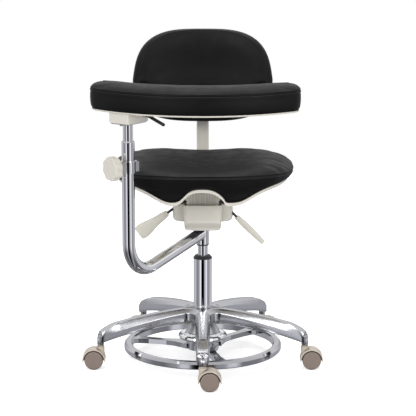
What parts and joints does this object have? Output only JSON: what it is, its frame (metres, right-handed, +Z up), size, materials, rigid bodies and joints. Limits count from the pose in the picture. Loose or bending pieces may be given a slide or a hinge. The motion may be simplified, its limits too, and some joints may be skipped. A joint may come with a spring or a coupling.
{
  "type": "dental assistant stool",
  "caption": "Wheeled stool with a padded seat and back, a foot-ring height release, and a curved support pad on an arm that swings round the column.",
  "frame": {"origin": "on the floor, under the column's axis", "axes": "+Z up along the column; a seated person faces -Y, towards the support pad; +X to the right seen from the front"},
  "size_m": [0.641, 0.684, 0.8721],
  "materials": {
    "satin_aluminium": "satin polished casting",
    "polished_casting": "bright plated casting",
    "grey_casting": "fine blasted casting",
    "chrome": "mirror chrome",
    "steel": "zinc plated",
    "spring_steel": "oiled",
    "dark_steel": "black powder coat",
    "black_plastic": "fine texture",
    "black_paint": "semi-gloss",
    "cream_plastic": "fine texture",
    "cream_paint": "satin",
    "grey_nylon": "self-coloured",
    "hood_plastic": "soft gloss",
    "wheel_plastic": "fine texture",
    "plywood": "bare",
    "black_leather": "fine grain synthetic leather"
  },
  "bodies": {
    "base": {"star_base": "satin_aluminium", "caster_sleeves": "steel", "column_tube": "chrome", "column_bush": "black_plastic", "ring_guide": "grey_casting", "ring_spring": "spring_steel"},
    "foot_ring": {"foot_ring": "polished_casting", "ring_dish": "chrome", "ring_hub": "polished_casting", "release_rod": "steel"},
    "spindle": {"piston_rod": "steel"},
    "carrier": {"gas_cylinder": "chrome", "tilt_housing": "dark_steel", "front_cover": "cream_plastic", "body_cover": "cream_plastic", "pivot_pins": "steel", "arm_rings": "black_plastic"},
    "seat": {"seat_plate": "dark_steel", "seat_shell": "cream_plastic", "rib_panel": "cream_plastic", "seat_board": "plywood", "seat_cushion": "black_leather", "seat_screws": "steel"},
    "back_bar": {"back_bar": "cream_paint"},
    "backrest": {"back_carriage": "black_plastic", "back_shell": "black_plastic", "back_cushion": "black_leather"},
    "back_knob": {"back_knob": "black_plastic"},
    "left_lever": {"left_lever_stem": "black_paint", "left_lever_grip": "cream_plastic"},
    "right_lever": {"right_lever_stem": "black_paint", "right_lever_grip": "cream_plastic"},
    "swing_arm": {"arm_collar": "chrome", "arm_bushes": "grey_nylon", "arm_tube": "chrome", "clamp_collar": "chrome"},
    "clamp_knob": {"clamp_knob": "cream_plastic", "clamp_screw": "steel"},
    "post": {"inner_post": "chrome"},
    "pad": {"pad_housing": "cream_paint", "pad_plate": "steel", "pad_shell": "cream_plastic", "pad_cushion": "black_leather", "lever_bushing": "steel"},
    "pad_lock": {"pad_lever": "black_paint"},
    "caster_front": {"caster_stem_front": "steel", "caster_hood_front": "hood_plastic"},
    "wheels_front": {"caster_wheels_front": "wheel_plastic"},
    "caster_left": {"caster_stem_left": "steel", "caster_hood_left": "hood_plastic"},
    "wheels_left": {"caster_wheels_left": "wheel_plastic"},
    "caster_right": {"caster_stem_right": "steel", "caster_hood_right": "hood_plastic"},
    "wheels_right": {"caster_wheels_right": "wheel_plastic"},
    "caster_rear_left": {"caster_stem_rear_left": "steel", "caster_hood_rear_left": "hood_plastic"},
    "wheels_rear_left": {"caster_wheels_rear_left": "wheel_plastic"},
    "caster_rear_right": {"caster_stem_rear_right": "steel", "caster_hood_rear_right": "hood_plastic"},
    "wheels_rear_right": {"caster_wheels_rear_right": "wheel_plastic"}
  },
  "joints": [
    {"name": "foot_press", "type": "slide", "parent": "base", "child": "foot_ring", "axis": [0, 0, 1], "range_m": [-0.008, 0], "stiffness_N_per_m": 4000, "springref_m": 0.012, "deforming": ["ring_spring"]},
    {"name": "seat_swivel", "type": "hinge", "parent": "base", "child": "spindle", "pos_m": [0, 0, 0.1], "axis": [0, 0, 1], "continuous": true},
    {"name": "lift", "type": "slide", "parent": "spindle", "child": "carrier", "axis": [0, 0, 1], "range_m": [-0.02, 0.13]},
    {"name": "seat_tilt", "type": "hinge", "parent": "carrier", "child": "seat", "pos_m": [0, 0.03, 0.43], "axis": [1, 0, 0], "range_deg": [-6, 4]},
    {"name": "back_tilt", "type": "hinge", "parent": "carrier", "child": "back_bar", "pos_m": [0, 0.062, 0.415], "axis": [1, 0, 0], "range_deg": [-14, 4]},
    {"name": "back_height", "type": "slide", "parent": "back_bar", "child": "backrest", "axis": [0, 0, 1], "range_m": [-0.03, 0.04]},
    {"name": "back_lock_turn", "type": "hinge", "parent": "backrest", "child": "back_knob", "pos_m": [0.04, 0.304, 0.726], "axis": [1, 0, 0], "range_deg": [-180, 180]},
    {"name": "left_lever_lift", "type": "hinge", "parent": "carrier", "child": "left_lever", "pos_m": [-0.046, -0.03, 0.4315], "axis": [0, 1, 0], "range_deg": [0, 8], "stiffness_Nm_per_rad": 3, "springref_deg": -17.19},
    {"name": "right_lever_lift", "type": "hinge", "parent": "carrier", "child": "right_lever", "pos_m": [0.046, -0.03, 0.424], "axis": [0, -1, 0], "range_deg": [0, 8], "stiffness_Nm_per_rad": 3, "springref_deg": -17.19},
    {"name": "arm_swing", "type": "hinge", "parent": "carrier", "child": "swing_arm", "pos_m": [0, 0, 0.34], "axis": [0, 0, 1], "range_deg": [-40, 71]},
    {"name": "clamp_turn", "type": "hinge", "parent": "swing_arm", "child": "clamp_knob", "pos_m": [-0.18722, -0.25581, 0.576], "axis": [-0.788, -0.6157, 0], "range_deg": [-180, 180]},
    {"name": "post_height", "type": "slide", "parent": "swing_arm", "child": "post", "axis": [0, 0, 1], "range_m": [-0.04, 0.06]},
    {"name": "pad_swivel", "type": "hinge", "parent": "post", "child": "pad", "pos_m": [-0.18722, -0.25581, 0.7], "axis": [0, 0, 1], "range_deg": [-20, 8]},
    {"name": "pad_lock_turn", "type": "hinge", "parent": "pad", "child": "pad_lock", "pos_m": [-0.17187, -0.23483, 0.706], "axis": [0.807, -0.5906, 0], "range_deg": [-35, 35]},
    {"name": "swivel_front", "type": "hinge", "parent": "base", "child": "caster_front", "pos_m": [0, -0.286, 0.06], "axis": [0, 0, 1], "continuous": true},
    {"name": "roll_front", "type": "hinge", "parent": "caster_front", "child": "wheels_front", "pos_m": [0.018, -0.286, 0.025], "axis": [0, 1, 0], "continuous": true},
    {"name": "swivel_left", "type": "hinge", "parent": "base", "child": "caster_left", "pos_m": [-0.272, -0.08838, 0.06], "axis": [0, 0, 1], "continuous": true},
    {"name": "roll_left", "type": "hinge", "parent": "caster_left", "child": "wheels_left", "pos_m": [-0.29, -0.08838, 0.025], "axis": [0, 1, 0], "continuous": true},
    {"name": "swivel_right", "type": "hinge", "parent": "base", "child": "caster_right", "pos_m": [0.272, -0.08838, 0.06], "axis": [0, 0, 1], "continuous": true},
    {"name": "roll_right", "type": "hinge", "parent": "caster_right", "child": "wheels_right", "pos_m": [0.29, -0.08838, 0.025], "axis": [0, 1, 0], "continuous": true},
    {"name": "swivel_rear_left", "type": "hinge", "parent": "base", "child": "caster_rear_left", "pos_m": [-0.16811, 0.23138, 0.06], "axis": [0, 0, 1], "continuous": true},
    {"name": "roll_rear_left", "type": "hinge", "parent": "caster_rear_left", "child": "wheels_rear_left", "pos_m": [-0.18611, 0.23138, 0.025], "axis": [0, 1, 0], "continuous": true},
    {"name": "swivel_rear_right", "type": "hinge", "parent": "base", "child": "caster_rear_right", "pos_m": [0.16811, 0.23138, 0.06], "axis": [0, 0, 1], "continuous": true},
    {"name": "roll_rear_right", "type": "hinge", "parent": "caster_rear_right", "child": "wheels_rear_right", "pos_m": [0.18611, 0.23138, 0.025], "axis": [0, 1, 0], "continuous": true}
  ]
}
